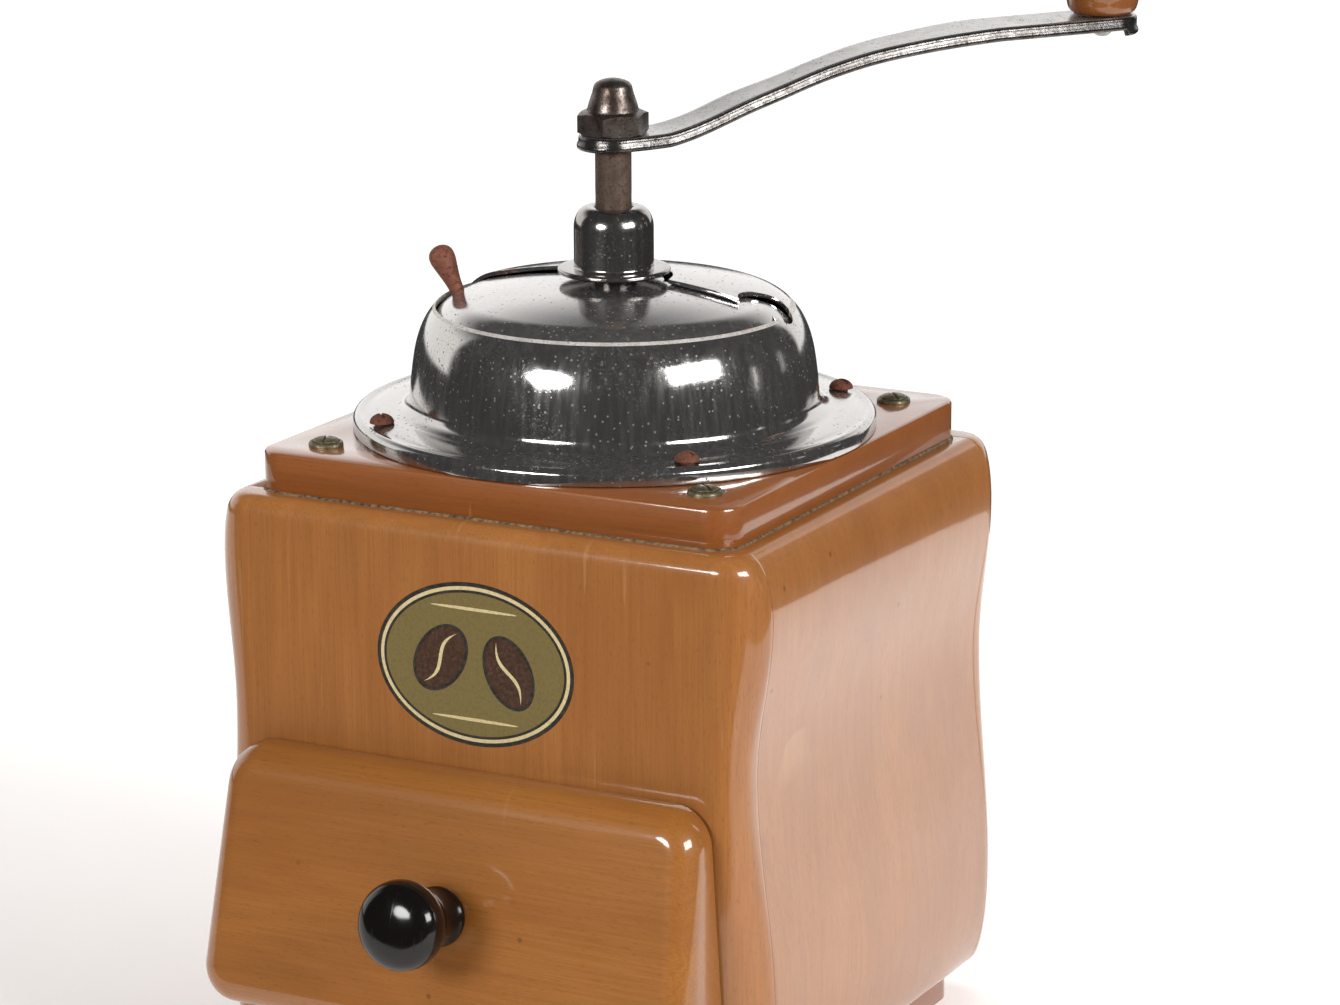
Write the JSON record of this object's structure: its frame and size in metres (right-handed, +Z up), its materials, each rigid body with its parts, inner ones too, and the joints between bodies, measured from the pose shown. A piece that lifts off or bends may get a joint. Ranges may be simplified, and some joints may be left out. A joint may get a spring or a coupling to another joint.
{
  "type": "hand crank coffee grinder",
  "caption": "Wooden box coffee mill with bulged sides, a metal hopper dome and turning lid, a cranked shaft with knob, an adjustable burr set and a drawer.",
  "frame": {"origin": "centre of the base board's flat underside", "axes": "+Z up along the drive shaft, -Y towards the drawer front, +X to the right seen from the drawer side"},
  "size_m": [0.1556, 0.2106, 0.2625],
  "materials": {
    "beech_body": "clear lacquered honey brown beech",
    "beech_drawer": "clear lacquered beech, slightly darker",
    "beech_raw": "planed, unlacquered beech",
    "chrome": "bright plating with fine pitting",
    "dull_brass": "tarnished, dull",
    "rusty_steel": "brown rust film",
    "worn_steel": "worn plating over browned steel",
    "plain_steel": "plain turned steel",
    "tinplate": "tinned sheet, satin",
    "cast_iron": "as cast, oiled",
    "black_plastic": "moulded, high gloss"
  },
  "bodies": {
    "mill_body": {"front_panel": "beech_body", "back_panel": "beech_body", "left_side_panel": "beech_body", "right_side_panel": "beech_body", "top_board": "beech_body", "base_board": "beech_body", "corner_block_1": "beech_raw", "corner_block_2": "beech_raw", "corner_block_3": "beech_raw", "corner_block_4": "beech_raw", "drawer_runner_left": "beech_raw", "drawer_runner_right": "beech_raw", "hopper_dome": "chrome", "bearing_collar": "chrome", "corner_screw_1": "dull_brass", "corner_screw_2": "dull_brass", "corner_screw_3": "dull_brass", "corner_screw_4": "dull_brass", "cup_washer_1": "dull_brass", "cup_washer_2": "dull_brass", "cup_washer_3": "dull_brass", "cup_washer_4": "dull_brass", "mill_screw_1": "rusty_steel", "mill_screw_2": "rusty_steel", "mill_screw_3": "rusty_steel", "mill_screw_4": "rusty_steel", "mill_nut_1": "plain_steel", "mill_nut_2": "plain_steel", "mill_nut_3": "plain_steel", "mill_nut_4": "plain_steel", "base_screw_1": "plain_steel", "base_screw_2": "plain_steel", "base_screw_3": "plain_steel", "base_screw_4": "plain_steel", "bush_nut": "plain_steel", "lid_spring_washer": "plain_steel", "bridge_screw_1": "plain_steel", "bridge_screw_2": "plain_steel", "detent_spring": "plain_steel", "hopper_funnel": "tinplate", "burr_housing": "cast_iron", "outer_burr": "cast_iron", "lower_bridge": "cast_iron"},
    "thrust_pad_body": {"thrust_pad": "plain_steel"},
    "adjusting_screw_body": {"adjusting_screw": "dull_brass"},
    "crank_set": {"drive_shaft": "worn_steel", "inner_burr": "cast_iron", "crank_arm": "chrome", "cap_nut": "worn_steel", "knob_pin": "plain_steel"},
    "crank_grip": {"crank_knob": "beech_drawer"},
    "lid": {"hopper_lid": "chrome", "lid_knob": "rusty_steel"},
    "drawer": {"drawer_front": "beech_drawer", "drawer_side_left": "beech_raw", "drawer_side_right": "beech_raw", "drawer_back": "beech_raw", "drawer_bottom": "beech_raw", "drawer_knob": "black_plastic", "drawer_knob_screw": "plain_steel"}
  },
  "joints": [
    {"name": "grind_setting", "type": "slide", "parent": "mill_body", "child": "thrust_pad_body", "axis": [0, 0, 1], "range_m": [-0.001, 0.0006]},
    {"name": "screw_turn", "type": "hinge", "parent": "thrust_pad_body", "child": "adjusting_screw_body", "pos_m": [0, 0, 0.0755], "axis": [0, 0, 1], "range_deg": [-370, 226]},
    {"name": "crank_turn", "type": "hinge", "parent": "thrust_pad_body", "child": "crank_set", "pos_m": [0, 0, 0.15], "axis": [0, 0, 1], "continuous": true},
    {"name": "knob_spin", "type": "hinge", "parent": "crank_set", "child": "crank_grip", "pos_m": [0.07486, 0.09582, 0.24], "axis": [0, 0, 1], "continuous": true},
    {"name": "lid_turn", "type": "hinge", "parent": "mill_body", "child": "lid", "pos_m": [0, 0, 0.172], "axis": [0, 0, 1], "range_deg": [0, 180]},
    {"name": "drawer_slide", "type": "slide", "parent": "mill_body", "child": "drawer", "axis": [0, -1, 0], "range_m": [0, 0.095]}
  ],
  "couplings": [
    {"joint": "screw_turn", "follows": "grind_setting", "rad_per_m": 6283.2}
  ]
}
